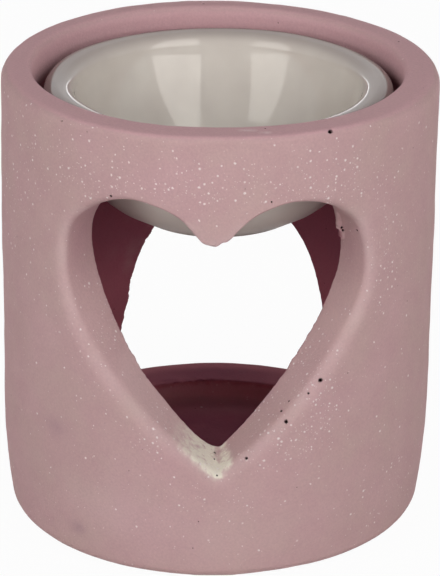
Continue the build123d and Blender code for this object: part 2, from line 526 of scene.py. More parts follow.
def ontoField(points, rounds):
    # moves the points along the field's slope until they lie on the surface
    for _ in range(rounds):
        value, slope = fieldSlope(points)
        steep = np.maximum((slope ** 2).sum(1), castMesh["leastSlope"])
        move = slope * (value / steep)[:, None]
        length = np.linalg.norm(move, axis=1)
        move *= np.minimum(1, castMesh["longestMove"] / np.maximum(length, 1e-9))[:, None]
        points = points - move
    return points


def meshPoints(mesh):
    points = np.empty(len(mesh.vertices) * 3, np.float32)
    mesh.vertices.foreach_get("co", points)
    return points.reshape(-1, 3).astype(float)


def meshEdges(mesh):
    edges = np.empty(len(mesh.edges) * 2, np.int32)
    mesh.edges.foreach_get("vertices", edges)
    return edges.reshape(-1, 2)


def setPoints(mesh, points):
    mesh.vertices.foreach_set("co", points.astype(np.float32).ravel())
    mesh.update()


def relaxed(points, edges, slope):
    # evens out the mesh along the surface
    total = np.zeros_like(points)
    a, b = edges.T
    many = len(points)
    for axis in range(3):
        total[:, axis] = np.bincount(a, points[b, axis], many) + np.bincount(b, points[a, axis], many)
    count = np.bincount(edges.ravel(), minlength=many)
    move = total / count[:, None] - points
    normal = unit(slope)
    move -= normal * (move * normal).sum(1)[:, None]
    return points + move * castMesh["relax"]


def splitEdges(mesh, chosen):
    bm = bmesh.new()
    bm.from_mesh(mesh)
    bm.edges.ensure_lookup_table()
    bmesh.ops.subdivide_edges(bm, edges=[bm.edges[i] for i in np.flatnonzero(chosen)], cuts=1)
    bmesh.ops.triangulate(bm, faces=bm.faces[:])
    bm.to_mesh(mesh)
    bm.free()


def castFromNode(node):
    # a copy of the node's mesh in mm, evenly meshed and drawn onto the field
    mesh = node.data.copy()
    mesh.transform(node.matrix_world)
    setPoints(mesh, meshPoints(mesh) / mm)
    piece = newObject("castBody", mesh)
    remesh = piece.modifiers.new("even", "REMESH")
    remesh.mode = "VOXEL"
    remesh.voxel_size = castMesh["voxel"]
    even = bpy.data.meshes.new_from_object(piece.evaluated_get(bpy.context.evaluated_depsgraph_get()))
    piece.modifiers.clear()
    piece.data = even
    bpy.data.meshes.remove(mesh)
    even.name = "castBody"
    bm = bmesh.new()
    bm.from_mesh(even)
    bmesh.ops.triangulate(bm, faces=bm.faces[:])
    bm.to_mesh(even)
    bm.free()
    for level in range(castMesh["splits"] + 1):
        points = meshPoints(even)
        edges = meshEdges(even)
        for _ in range(castMesh["settle"]):
            points = ontoField(points, 1)
            points = relaxed(points, edges, fieldSlope(points)[1])
        points = ontoField(points, castMesh["lastMoves"])
        setPoints(even, points)
        print("  level", level, len(points), "points")
        if level < castMesh["splits"]:
            slope = unit(fieldSlope(points)[1])
            a, b = edges.T
            turn = np.arccos(np.clip((slope[a] * slope[b]).sum(1), -1, 1))
            length = np.linalg.norm(points[a] - points[b], axis=1)
            splitEdges(even, (turn > castMesh["splitTurn"]) & (length > castMesh["shortest"]))
    return piece


castBody = castFromNode(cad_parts["body"])
print("casting shaped:", len(castBody.data.vertices), "points")

# Pinholes: photo pixel x, y and width in mm, then small ones scattered over the rest
pinholes = {
    "seen": (
        (330.5, 131.5, 0.8), (265.2, 128.4, 0.34), (110.7, 196.3, 0.5), (271.6, 202.0, 0.36),
        (341.9, 227.6, 0.45), (343.0, 230.2, 0.45), (357.2, 230.2, 0.38), (320.4, 380.4, 0.78),
        (286.0, 421.7, 0.77), (246.3, 458.3, 0.55), (289.0, 401.0, 0.36), (281.2, 411.0, 0.46),
        (308.4, 393.4, 0.46), (215.0, 452.6, 0.48), (214.4, 459.0, 0.34), (217.0, 475.4, 0.34),
        (260.2, 22.4, 0.3), (198.4, 521.8, 0.25), (62.0, 121.0, 0.25),
    ),
    "scattered": 46,
    "scatterWidth": (0.22, 0.5),
    "scatterSeed": 5,
    "scatterWall": 30.0,        # mm from the middle, on faces that look outwards
    "scatterRim": (0.9, 89.0),  # how far up a face looks there, and the height
    "scatterFrom": (-12.0, 4.0),    # behind this y and above this height
    # shares of the width
    "deep": 1.3,
    "wobble": (0.18, 0.7),      # how far from round, of the radius, and the size of the lumps
    "splitReach": 0.62,         # how far out the mesh gets finer
    "finest": 0.17,             # length of an edge inside
    # the rounds of splitting, and powers
    "splits": 5,
    "wallPower": 4,             # how steep the walls are
    "shadePower": 12,           # how sharply the painted shade inside begins
}


def meshNormals(mesh):
    return np.array([vertex.normal[:] for vertex in mesh.vertices])


def seenPlaces(piece, pixels):
    # where the camera's line through each pixel meets the piece, in mm, the way halfway between the
    # surface's and the camera's, and the width
    faces = [face.vertices[:] for face in piece.data.polygons]
    tree = BVHTree.FromPolygons(meshPoints(piece.data).tolist(), faces)
    places = []
    for *pixel, width in pixels:
        stand, way = sightLine(cameraSetup, pixel)
        place, normal = tree.ray_cast(stand, way)[:2]
        places.append((np.array(place), np.array((normal - way).normalized()), width))
    return places


def scatteredPlaces(piece, setup):
    # places on the outside and the rim, away from the front half that the camera sees
    points, normals = meshPoints(piece.data), meshNormals(piece.data)
    outside = (normals[:, :2] * points[:, :2]).sum(1) > setup["scatterWall"]
    up, height = setup["scatterRim"]
    outside |= (normals[:, 2] > up) & (points[:, 2] > height)
    behind, above = setup["scatterFrom"]
    outside &= (points[:, 1] > behind) & (points[:, 2] > above)
    chosen = np.random.default_rng(setup["scatterSeed"])
    index = chosen.choice(np.flatnonzero(outside), setup["scattered"], replace=False)
    widths = chosen.uniform(*setup["scatterWidth"], setup["scattered"])
    return [(points[i], normals[i], width) for i, width in zip(index, widths)]


def carvePinholes(piece, holes, setup):
    # sinks the holes into the mesh, and returns how much painted shade each point gets in them
    mesh = piece.data
    for _ in range(setup["splits"]):
        points, edges = meshPoints(mesh), meshEdges(mesh)
        a, b = points[edges[:, 0]], points[edges[:, 1]]
        length = np.linalg.norm(a - b, axis=1)
        chosen = np.zeros(len(edges), bool)
        for middle, normal, width in holes:
            along = b - a
            share = np.clip(((middle - a) * along).sum(1) / length ** 2, 0, 1)
            gap = np.linalg.norm(a + along * share[:, None] - middle, axis=1)
            chosen |= (gap < width * setup["splitReach"]) & (length > width * setup["finest"] * 2)
        splitEdges(mesh, chosen)
    points = meshPoints(mesh)
    shade = np.zeros(len(points))
    unround, lumps = setup["wobble"]
    for middle, normal, width in holes:
        away = points - middle
        wobble = 1 + unround * softNoise(away + middle, width * lumps)
        reach = np.linalg.norm(away - np.outer(away @ normal, normal), axis=1) / (width / 2 * wobble)
        inside = (reach < 1) & (np.abs(away @ normal) < width)
        sunk = (1 - reach[inside] ** setup["wallPower"]) * width * setup["deep"]
        points[inside] -= np.outer(sunk, normal)
        shade[inside] = 1 - reach[inside] ** setup["shadePower"]
    setPoints(mesh, points)
    return shade


def leanAside(points, share):
    # a share of 1 leans the points as the casting leans, and -1 sets them upright again
    points[:, 0] += share * castShape["lean"] * (points[:, 2] - castShape["leanHeight"])


points = meshPoints(castBody.data)
slope = unit(fieldSlope(points)[1])
for size, height in castShape["waves"]:
    points += slope * (softNoise(points + size, size) * height)[:, None]
leanAside(points, 1)
setPoints(castBody.data, points)
holes = seenPlaces(castBody, pinholes["seen"]) + scatteredPlaces(castBody, pinholes)
poreShade = carvePinholes(castBody, holes, pinholes)
print("pinholes carved:", len(castBody.data.vertices), "points")

# Where each finish lies on the casting, in mm. A patch on the front is x, z, its spreads and a
# strength, and uneven says how much the patchiness moves a finish's edge
castFinish = {
    "patchiness": ((2.2, 0.6), (0.8, 0.4)),     # size and share
    "saltPatches": (
        (0.0, 81.0, 14.0, 5.0, 0.6), (21.0, 79.5, 8.0, 6.0, 0.9), (-22.0, 81.0, 12.0, 5.0, 0.45),
        (31.0, 62.0, 2.5, 10.0, 0.8), (19.0, 38.0, 5.0, 8.0, 1.0), (13.0, 29.0, 7.0, 4.0, 1.0),
        (-12.0, 31.0, 3.5, 4.0, 0.7), (-37.0, 72.0, 4.0, 12.0, 0.35), (0.0, 17.0, 14.0, 4.0, 0.25),
        (-26.0, 46.0, 3.0, 10.0, 0.3), (33.0, 10.0, 5.0, 6.0, 0.4), (-20.4, 77.6, 1.0, 0.5, 2.0),
        (-20.3, 50.0, 2.0, 7.0, 0.8),
    ),
    "saltEverywhere": 0.06,
    "palePatches": (
        (-20.0, 13.0, 9.0, 6.0, 0.35), (-33.0, 40.0, 5.0, 22.0, 0.12), (3.0, 9.0, 17.0, 9.0, 0.25),
    ),
    "stains": ((-26.1, 7.0, 1.5, 0.8), (-30.5, 27.0, 1.8, 0.6), (11.3, 73.0, 0.9, 0.7)),
    "stainUneven": 0.25,
    # bare concrete in the chamber, weaker low on the back wall
    "bare": {
        "turn": (0.05, 0.30), "uneven": 0.08,
        "backShare": 0.34, "back": (16.0, 24.0), "low": (9.2, 9.45),
    },
    # and, as painted shade, on the doorway's sill
    "sill": {"behind": 20.0, "above": 8.6, "top": (11.0, 16.0), "edge": (40.0, 41.0), "share": 0.95},
    # painted shade on the floor, less at the back and up the wall, then high up to just beside the chamber's
    # wall and below the ledge, and on the sill
    "chamberShade": {
        "turn": (6.2, 8.2), "uneven": 0.4, "backShare": 0.3, "back": (17.0, 25.0),
        "wallShare": 0.75, "wall": (25.0, 31.4), "wallBehind": (6.0, 14.0),
        "highShare": 0.5, "high": (32.0, 46.0), "highReach": (0.6, -1.0),
        "sillEdge": (36.5, 39.5), "sillUneven": 0.5, "sillRise": (9.0, 9.45),
    },
    # the mouth's wall from the ledge up, its foot round the dish in painted shade, less at the back, and the
    # rim's flat top
    "mouth": {
        "turn": (0.1, 0.9), "uneven": 0.1, "from": -0.5,
        "foot": (83.0, 85.0), "backShare": 0.6, "back": (20.0, 34.0), "flat": (-0.6, -0.25),
    },
    "rimScrape": {"line": ((3.9, -37.4), (8.8, -38.7)), "turn": (0.1, 0.55), "uneven": 0.25, "above": 88.0},
    # the pale line along the heart's outer edge
    "paleLine": {"middle": 0.2, "width": 1.3, "wall": (0.1, 0.22), "share": 0.75, "uneven": 0.5},
    # the heart's cut sides, below this height: paler low down, most of all along the line, as dust and
    # painted light, and pinker high up
    "cut": {"wall": (0.0, 0.3), "edge": (0.2, 1.1), "below": 74.0},
    "dust": {
        "least": 0.25, "more": 0.5, "line": ((-5.0, 27.3), (-16.0, 41.0)), "turn": (0.5, 5.0),
        "highShare": 0.8, "high": (50.0, 64.0),
    },
    "pink": {"left": 0.6, "right": 0.2, "high": (50.0, 66.0)},
    # the crusted patch at the heart's tip: up its left side, thinning out, and a little up its right
    "cream": {
        "line": ((0.5, 22.0), (-5.0, 27.3), (-11.0, 35.0)), "width": (2.4, 0.9), "fade": (0.1, 0.85),
        "from": 0.3, "uneven": 1.6, "inside": -0.5,
        "right": ((-1.0, 25.3), (0.5, 23.0), (1.8, 24.8)), "rightShare": 0.8, "rightTurn": (-0.2, 1.7),
    },
}


def lineGap(x, z, line):
    # how far a place is from a line, and the share of the line up to there
    nearest = np.full(len(x), 1e9)
    share = np.zeros(len(x))
    for i, ((ax, az), (bx, bz)) in enumerate(zip(line, line[1:])):
        dx, dz = bx - ax, bz - az
        along = np.clip(((x - ax) * dx + (z - az) * dz) / (dx ** 2 + dz ** 2), 0, 1)
        gap = np.hypot(x - ax - along * dx, z - az - along * dz)
        share = np.where(gap < nearest, (i + along) / (len(line) - 1), share)
        nearest = np.minimum(nearest, gap)
    return nearest, share


def patchSum(x, z, patches):
    # the patches' strengths at each place, added up
    total = np.zeros(len(x))
    for px, pz, spreadX, spreadZ, strength in patches:
        total += strength * np.exp(-((x - px) / spreadX) ** 2 - ((z - pz) / spreadZ) ** 2)
    return total


def insideMasks(points, wide, patchy, setup):
    # the bare concrete of the chamber, painted shade in its tint on the sill, and painted shade over them
    s = castShape
    y, z = points[:, 1], points[:, 2]
    p = setup["bare"]
    inward = np.maximum(chamberGap(wide, z), s["floorHeight"] - z)
    bare = 1 - ramp(inward + patchy * p["uneven"], *p["turn"])
    bare *= 1 - p["backShare"] * ramp(y, *p["back"]) * (1 - ramp(z, *p["low"]))
    # painted shade: the sill takes the bare concrete's tint
    p = setup["sill"]
    sill = (y > p["behind"]) * (z > p["above"]) * (1 - ramp(z, *p["top"])) * (1 - ramp(wide, *p["edge"]))
    sill = sill * p["share"]
    bare = np.maximum(bare, sill)
    # painted shade on the chamber's floor, high walls and sill edge
    p = setup["chamberShade"]
    chamberShade = 1 - ramp(z + patchy * p["uneven"], *p["turn"])
    chamberShade *= 1 - p["backShare"] * ramp(y, *p["back"])
    chamberShade *= 1 - p["wallShare"] * ramp(wide, *p["wall"]) * ramp(y, *p["wallBehind"])
    beside, below = p["highReach"]
    chamberShade = np.maximum(chamberShade, p["highShare"] * ramp(z, *p["high"]))
    chamberShade *= (wide < s["chamberRadius"] + beside) & (z < s["ledgeHeight"] + below)
    onSill = sill * (1 - ramp(wide + patchy * p["sillUneven"], *p["sillEdge"])) * ramp(z, *p["sillRise"])
    return bare, np.maximum(chamberShade, onSill)


def castMasks(piece, setup):
    s = castShape
    points = meshPoints(piece.data)
    leanAside(points, -1)
    x, y, z = points.T
    wide = np.hypot(x, y)
    patchy = sum(softNoise(points, size) * share for size, share in setup["patchiness"])
    front = y < 0
    bare, chamberShade = insideMasks(points, wide, patchy, setup)

    p = setup["mouth"]
    above = z > s["ledgeHeight"] + p["from"]
    fromMouth = np.hypot(x - s["mouthShift"], y) - s["mouthRadius"]
    mouth = above * (1 - ramp(fromMouth + patchy * p["uneven"], *p["turn"]))
    # painted shade at the mouth's foot round the dish
    foot = mouth * (1 - ramp(z, *p["foot"])) * (1 - p["backShare"] * ramp(y, *p["back"]))
    flat = ramp(rimTop(points), *p["flat"]) * (fromMouth > 0)
    p = setup["rimScrape"]
    scrape = (z > p["above"]) * (1 - ramp(lineGap(x, y, p["line"])[0] + patchy * p["uneven"], *p["turn"]))

    heart, depth = windowField(points, wide, heartOuter, heartInner, True)
    p = setup["cut"]
    low = z < p["below"]
    edge = 1 - ramp(heart, *p["edge"])
    cutSide = front * low * edge * ramp(depth, *p["wall"])
    p = setup["paleLine"]
    paleLine = np.exp(-((heart - p["middle"]) / p["width"]) ** 2) * (1 - ramp(depth, *p["wall"]))
    paleLine *= (p["share"] + p["uneven"] * patchy) * low
    # dust and painted light on the heart's lower cut sides, with pale patches on the front
    p = setup["dust"]
    dust = p["least"] + p["more"] * (1 - ramp(lineGap(x, z, p["line"])[0] + patchy, *p["turn"]))
    dust *= cutSide * (1 - p["highShare"] * ramp(z, *p["high"]))
    dust += patchSum(x, z, setup["palePatches"]) * front
    p = setup["pink"]
    pink = np.where(x < 0, p["left"], p["right"]) * cutSide * ramp(z, *p["high"])

    p = setup["cream"]
    gap, share = lineGap(x, z, p["line"])
    near, far = p["width"]
    cream = 1 - ramp(gap + patchy * p["uneven"], p["from"], near + (far - near) * share)
    cream *= 1 - ramp(share, *p["fade"])
    gap = lineGap(x, z, p["right"])[0]
    cream = np.maximum(cream, p["rightShare"] * (1 - ramp(gap + patchy * p["uneven"], *p["rightTurn"])))
    cream *= front * edge * (wide > s["innerRadius"] + p["inside"])

    salt = setup["saltEverywhere"] + patchSum(x, z, setup["saltPatches"]) * front
    salt *= 1 - np.maximum(mouth, flat)
    stain = np.zeros(len(points))
    for px, pz, spread, strength in setup["stains"]:
        gap = np.hypot(x - px, z - pz) * (1 + setup["stainUneven"] * patchy)
        stain += strength * np.exp(-(gap / spread) ** 2) * front
    return {
        "bareInsideAndSillShade": np.where(above, 0, bare), "darkFloor": chamberShade, "mouthGapShade": foot,
        "pinkWall": np.where(above, mouth, pink), "rimTop": flat, "rimScrape": scrape,
        "paleEdgeLine": paleLine, "paleDustAndLight": dust, "creamPatch": cream, "saltDensity": salt + cream, "stain": stain,
    }


def storeMask(mesh, name, values):
    layer = mesh.attributes.new(name, "FLOAT", "POINT")
    layer.data.foreach_set("value", np.clip(values, 0, 1).astype(np.float32))


for maskName, values in castMasks(castBody, castFinish).items():
    storeMask(castBody.data, maskName, values)
storeMask(castBody.data, "poreShade", poreShade)
setPoints(castBody.data, meshPoints(castBody.data) * mm)
castBody.data.shade_smooth()
print("casting's finishes placed")


# Shader effects that several finishes share
def newGroup(name, inputs, output):
    group = bpy.data.node_groups.new(name, "ShaderNodeTree")
    for socketName, kind, default in inputs:
        socket = group.interface.new_socket(socketName, in_out="INPUT", socket_type=kind)
        if default is not None:
            socket.default_value = default
    group.interface.new_socket(output, in_out="OUTPUT", socket_type="NodeSocketFloat")
    return group, group.nodes.new("NodeGroupInput").outputs, group.nodes.new("NodeGroupOutput").inputs


def buildGrainGroup():
    # uneven grain around 0, from -1 to 1, with grains of Size mm
    group, given, out = newGroup("fineGrain", (
        ("Vector", "NodeSocketVector", None), ("Size", "NodeSocketFloat", 1.0),
        ("Detail", "NodeSocketFloat", 2.0), ("Contrast", "NodeSocketFloat", 1.0),
    ), "Grain")
    noise = group.nodes.new("ShaderNodeTexNoise")
    group.links.new(given["Vector"], noise.inputs["Vector"])
    group.links.new(mathNode(group, "DIVIDE", 1 / mm, given["Size"]), noise.inputs["Scale"])
    group.links.new(given["Detail"], noise.inputs["Detail"])
    level = mathNode(group, "SUBTRACT", noise.outputs["Fac"], 0.5)
    level = mathNode(group, "MULTIPLY", level, given["Contrast"])
    group.links.new(level, out["Grain"])
    return group


speckForm = {"smallest": 0.35, "sharpness": 1.9}    # share of the width, and steepness at the edge


def buildSpeckGroup(form):
    # round specks: one in each cell of Spacing mm, as wide as Width mm, in Share of the cells
    group, given, out = newGroup("specks", (
        ("Vector", "NodeSocketVector", None), ("Spacing", "NodeSocketFloat", 1.0),
        ("Width", "NodeSocketFloat", 0.3), ("Share", "NodeSocketFloat", 0.5),
    ), "Speck")
    cells = group.nodes.new("ShaderNodeTexVoronoi")
    group.links.new(given["Vector"], cells.inputs["Vector"])
    group.links.new(mathNode(group, "DIVIDE", 1 / mm, given["Spacing"]), cells.inputs["Scale"])
    split = group.nodes.new("ShaderNodeSeparateColor")
    group.links.new(cells.outputs["Color"], split.inputs[0])
    size = mathNode(group, "ADD", split.outputs[1], form["smallest"])
    width = mathNode(group, "MULTIPLY", given["Width"], size)
    radius = mathNode(group, "DIVIDE", mathNode(group, "MULTIPLY", width, 0.5), given["Spacing"])
    level = mathNode(group, "DIVIDE", cells.outputs["Distance"], radius)
    level = mathNode(group, "SUBTRACT", 1.0, level)
    level = mathNode(group, "MULTIPLY", level, form["sharpness"], clamp=True)
    kept = mathNode(group, "LESS_THAN", split.outputs[0], given["Share"])
    group.links.new(mathNode(group, "MULTIPLY", level, kept), out["Speck"])
    return group


fineGrain, specks = buildGrainGroup(), buildSpeckGroup(speckForm)


def useGroup(tree, group, place, values):
    # the values are in the order of the group's own inputs
    node = tree.nodes.new("ShaderNodeGroup")
    node.node_tree = group
    for name, value in zip(node.inputs.keys(), (place, *values)):
        setInput(tree, node, name, value)
    return node.outputs[0]


def blendColor(tree, share, first, second):
    node = tree.nodes.new("ShaderNodeMix")
    node.data_type = "RGBA"
    for index, value in ((0, share), (6, first), (7, second)):
        setInput(tree, node, index, (*value, 1) if isinstance(value, tuple) else value)
    return node.outputs[2]


def mask(tree, name):
    node = tree.nodes.new("ShaderNodeAttribute")
    node.attribute_name = name
    return node.outputs["Fac"]


def coatColor(tree, color, look, coats):
    # lays one tint after another over a colour, each by its mask and strength
    for maskName, strength, tint in coats:
        color = blendColor(tree, scaled(tree, mask(tree, maskName), strength), color, look[tint])
    return color


def startMaterial(name, roughness, sheen):
    material = bpy.data.materials.new(name)
    material.use_nodes = True
    tree = material.node_tree
    shader = tree.nodes["Principled BSDF"]
    shader.inputs["Roughness"].default_value = roughness
    shader.inputs["Specular IOR Level"].default_value = sheen
    place = tree.nodes.new("ShaderNodeTexCoord").outputs["Object"]
    return material, tree, shader, place


def bumpFrom(tree, shader, heights):
    # values and how high each stands at 1, in mm
    height = 0.0
    for value, reach in heights:
        height = scaled(tree, value, reach, height, clamp=False)
    bump = tree.nodes.new("ShaderNodeBump")
    bump.inputs["Distance"].default_value = mm
    tree.links.new(height, bump.inputs["Height"])
    tree.links.new(bump.outputs[0], shader.inputs["Normal"])


# A grain is its size in mm, detail and contrast, and specks are their spacing and width in mm and share.
# A coat is a mask, its strength and its tint
concreteLook = {
    "pink": (0.582, 0.371, 0.378),
    "rose": (0.527, 0.323, 0.332),
    "beige": (0.552, 0.384, 0.360),
    # dust, and painted light on the heart's lower cut sides
    "dust": (0.690, 0.480, 0.480),
    # bare concrete in the chamber, also painted shade on the sill
    "bareAndSillShade": (0.455, 0.148, 0.190),
    # painted shade on the chamber's floor, high walls and sill edge
    "chamberShadeTint": (0.245, 0.066, 0.104),
    "pinkWall": (0.580, 0.340, 0.370),
    "rimTop": (0.660, 0.395, 0.425),
    "cream": (0.880, 0.810, 0.700),
    "salt": (0.930, 0.850, 0.840),
    # dark pores, and painted shade inside the pinholes
    "pore": (0.010, 0.003, 0.004),
    "gap": (0.130, 0.035, 0.045),       # painted shade down in the mouth, round the dish
    "stain": (0.330, 0.210, 0.240),
    "roughness": 0.9,
    "roughSpread": 0.1,
    "sheen": 0.14,
    "clouds": (11.0, 3.0, 3.2),
    "beigeShare": (0.6, 0.35),          # how much the clouds move it, and its middle
    "patches": (5.0, 4.0, 2.6),
    "roseShare": (0.5, 0.2),
    "grain": (0.45, 3.0, 1.0),
    "grainShade": 0.22,
    "outerCoats": (
        ("paleEdgeLine", 0.10, "salt"), ("paleDustAndLight", 1.0, "dust"), ("rimTop", 0.7, "rimTop"),
        ("stain", 0.5, "stain"), ("rimScrape", 0.35, "salt"),
    ),
    "creamLumps": (1.0, 4.0, 3.0),
    "creamShare": (1.6, 1.5),
    "innerCoats": (
        ("bareInsideAndSillShade", 1.0, "bareAndSillShade"), ("darkFloor", 1.0, "chamberShadeTint"), ("pinkWall", 0.7, "pinkWall"),
        ("mouthGapShade", 1.0, "gap"),
    ),
    "saltWarp": (0.5, 0.25),            # size and reach in mm of what bends the salt out of round
    "saltGrains": ((0.8, 0.50, 1.0), (0.45, 0.25, 0.7)),    # spacing and width in mm, and strength
    "saltShare": 0.6,
    "saltStrength": 0.75,
    "darkSpecks": (2.4, 0.30, 0.25),
    "darkStrength": 0.6,
    "heights": (0.05, 0.05, 0.05, -0.12),       # mm: grain, patches, salt and pores
}


def saltOn(tree, place, look):
    # salt where its mask lies, and none on the bare inside
    size, reach = look["saltWarp"]
    jitter = tree.nodes.new("ShaderNodeTexNoise")
    jitter.inputs["Scale"].default_value = 1 / (size * mm)
    tree.links.new(place, jitter.inputs["Vector"])
    warp = tree.nodes.new("ShaderNodeVectorMath")
    warp.operation = "MULTIPLY_ADD"
    tree.links.new(jitter.outputs["Color"], warp.inputs[0])
    warp.inputs[1].default_value = (reach * mm,) * 3
    tree.links.new(place, warp.inputs[2])
    share = scaled(tree, mask(tree, "saltDensity"), look["saltShare"])
    crust = 0.0
    for spacing, width, strength in look["saltGrains"]:
        grains = useGroup(tree, specks, warp.outputs[0], (spacing, width, share))
        crust = mathNode(tree, "MAXIMUM", scaled(tree, grains, strength), crust)
    return mathNode(tree, "MULTIPLY", crust, mathNode(tree, "SUBTRACT", 1.0, mask(tree, "bareInsideAndSillShade")))


def concreteMaterial(look):
    material, tree, shader, place = startMaterial("castConcrete", look["roughness"], look["sheen"])
    clouds, patches, grain, lumps = (
        useGroup(tree, fineGrain, place, look[name]) for name in ("clouds", "patches", "grain", "creamLumps")
    )
    color = blendColor(tree, scaled(tree, clouds, *look["beigeShare"]), look["pink"], look["beige"])
    color = blendColor(tree, scaled(tree, patches, *look["roseShare"]), color, look["rose"])
    color = coatColor(tree, color, look, look["outerCoats"])
    crusty = scaled(tree, lumps, *look["creamShare"], clamp=False)
    crusty = mathNode(tree, "MULTIPLY", mask(tree, "creamPatch"), crusty, clamp=True)
    color = blendColor(tree, crusty, color, look["cream"])
    color = coatColor(tree, color, look, look["innerCoats"])
    crust = saltOn(tree, place, look)
    color = blendColor(tree, scaled(tree, crust, look["saltStrength"]), color, look["salt"])
    dark = scaled(tree, useGroup(tree, specks, place, look["darkSpecks"]), look["darkStrength"])
    # painted shade inside the pinholes
    dark = mathNode(tree, "MAXIMUM", dark, mask(tree, "poreShade"))
    color = blendColor(tree, dark, color, look["pore"])
    bright = tree.nodes.new("ShaderNodeHueSaturation")
    tree.links.new(color, bright.inputs["Color"])
    tree.links.new(scaled(tree, grain, look["grainShade"], 1.0, clamp=False), bright.inputs["Value"])
    tree.links.new(bright.outputs[0], shader.inputs["Base Color"])
    rough = scaled(tree, grain, look["roughSpread"], look["roughness"])
    tree.links.new(rough, shader.inputs["Roughness"])
    bumpFrom(tree, shader, zip((grain, patches, crust, dark), look["heights"]))
    return material


castBody.data.materials.clear()
castBody.data.materials.append(concreteMaterial(concreteLook))
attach(castBody, "burner")
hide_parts("body")

# The oil dish, in mm, as a half outline (radius, height) with a radius for each corner
dishShape = {
    "outerWall": ((15.0, 60.3), (29.97, 66.75), (31.3, 83.0)),
    "innerWall": ((28.0, 86.9), (25.2, 71.0), (12.2, 63.1)),
    "rim": ((33.7, 83.0, 0.8), (33.7, 87.5, 2.6)),
    "footRound": 4.0,
    "floorRound": 5.0,
    "lipRound": 2.8,
    "wallSteps": 14,
    "around": 144,
    "tilt": 0.35,               # degrees, low on the right, as the ledge is
    "seatHeight": 83.0,
    "shift": 0.1,               # mm to the right, with the casting's lean
    "lift": 0.03,
    "uneven": (0.08, 33.0, 17.0),   # mm, at this radius, and the size of the lumps
}


def bend(start, pull, end, steps):
    shares = np.linspace(0, 1, steps)[:, None]
    start, pull, end = (np.array(point) for point in (start, pull, end))
    return start * (1 - shares) ** 2 + pull * 2 * shares * (1 - shares) + end * shares ** 2


def rounded(outline, steps=6, hold=0.12):
    # the outline (radius, height, corner radius) with its corners rounded, and a point beside each
    # rounding that keeps the faces next to it flat
    result = []
    for i, (x, z, radius) in enumerate(outline):
        corner = Vector((x, z))
        if not radius:
            result.append(corner)
            continue
        before = (Vector(outline[i - 1][:2]) - corner).normalized()
        after = (Vector(outline[i + 1][:2]) - corner).normalized()
        half = before.angle(after) / 2
        reach = radius / math.tan(half)
        middle = corner + (before + after).normalized() * (radius / math.sin(half))
        start, end = corner + before * reach - middle, corner + after * reach - middle
        turn = start.angle_signed(end)
        result.append(corner + before * (reach + hold))
        for step in range(steps + 1):
            angle = -turn * step / steps
            c, d = math.cos(angle), math.sin(angle)
            result.append(middle + Vector((start.x * c - start.y * d, start.x * d + start.y * c)))
        result.append(corner + after * (reach + hold))
    return result


def lathe(name, outline, around):
    # turns a half outline that starts and ends on the axis, in mm
    bm = bmesh.new()
    rings = []
    for x, z in outline:
        if x < 1e-6:
            rings.append([bm.verts.new((0, 0, z))])
            continue
        ring = []
        for i in range(around):
            turn = 2 * math.pi * i / around
            ring.append(bm.verts.new((x * math.cos(turn), x * math.sin(turn), z)))
        rings.append(ring)
    for low, high in zip(rings, rings[1:]):
        for i in range(around):
            j = (i + 1) % around
            if len(low) == 1:
                bm.faces.new((low[0], high[j], high[i]))
            elif len(high) == 1:
                bm.faces.new((low[i], low[j], high[0]))
            else:
                bm.faces.new((low[i], low[j], high[j], high[i]))
    bmesh.ops.recalc_face_normals(bm, faces=bm.faces[:])
    mesh = bpy.data.meshes.new(name)
    bm.to_mesh(mesh)
    bm.free()
    mesh.shade_smooth()
    return newObject(name, mesh)


def dishOutline(shape):
    outer = [(*point, 0) for point in bend(*shape["outerWall"], shape["wallSteps"])]
    inner = [(*point, 0) for point in bend(*shape["innerWall"], shape["wallSteps"])]
    outer[0] = (*outer[0][:2], shape["footRound"])
    inner[0] = (*inner[0][:2], shape["lipRound"])
    inner[-1] = (*inner[-1][:2], shape["floorRound"])
    footHeight, floorHeight = outer[0][1], inner[-1][1]
    del outer[1:3], inner[-4:-1]        # the points that the foot's and the floor's roundings take in
    return rounded([(0, footHeight, 0), *outer, *shape["rim"], *inner, (0, floorHeight, 0)])


def buildDish(shape):
    dish = lathe("oilDish", dishOutline(shape), shape["around"])
    points = meshPoints(dish.data)
    height, radius, size = shape["uneven"]
    points += (softNoise(points, size) * height)[:, None] * points / radius
    tilt = math.radians(shape["tilt"])
    x, z = points[:, 0].copy(), points[:, 2] - shape["seatHeight"]
    points[:, 0] = x * math.cos(tilt) + z * math.sin(tilt) + shape["shift"]
    points[:, 2] = z * math.cos(tilt) - x * math.sin(tilt) + shape["seatHeight"] + shape["lift"]
    setPoints(dish.data, points * mm)
    return dish


oilDish = buildDish(dishShape)
glazeLook = {
    "glaze": (0.695, 0.641, 0.580),
    "thinAndShade": (0.310, 0.232, 0.212),      # where the glaze runs thin, and painted shade on the lip and underside
    "bare": (0.480, 0.420, 0.370),      # the unglazed foot
    "roughness": 0.045,
    "roughSpread": 0.03,
    "undersideRoughness": 0.38,         # added there
    "bareRoughness": 0.8,
    "sheen": 0.5,
    "clouds": (9.0, 2.0, 1.0),
    "cloudShare": (0.4, 0.1),
    "flecks": (4.5, 0.16, 0.3),
    "fleckStrength": 0.35,
    "coats": (("thinGlazeAndShade", 0.9, "thinAndShade"), ("bareFoot", 1.0, "bare")),
    "orangePeel": (1.6, 1.0, 1.0),
    "orangePeelHeight": 0.004,          # mm
    # where the lip is darkened by thin glaze and painted shade, in mm from its outer edge and top: at first
    # this much at the front and the back, then fully
    "lipThinAndShade": (0.88, 0.70),
    "lipBack": (8.0, 26.0),
    "lipTurn": (-7.2, -4.2),
    "crestTurn": (-3.4, -1.6),
    "crestHeight": (-4.0, -1.0),
    # the bare foot: heights, the size and height of its uneven edge, its inner radius and highest point
    "footTurn": (61.2, 61.9),
    "footUneven": (3.0, 0.15),
    "footInside": 8.0,
    "footTop": 62.2,
    "underTurn": (0.1, 0.6),            # how far out and down a face of the underside looks
    "underShade": (((-10.0, -18.0), 0.8), ((4.0, 18.0), 0.4)),   # x, and how much painted shade
}


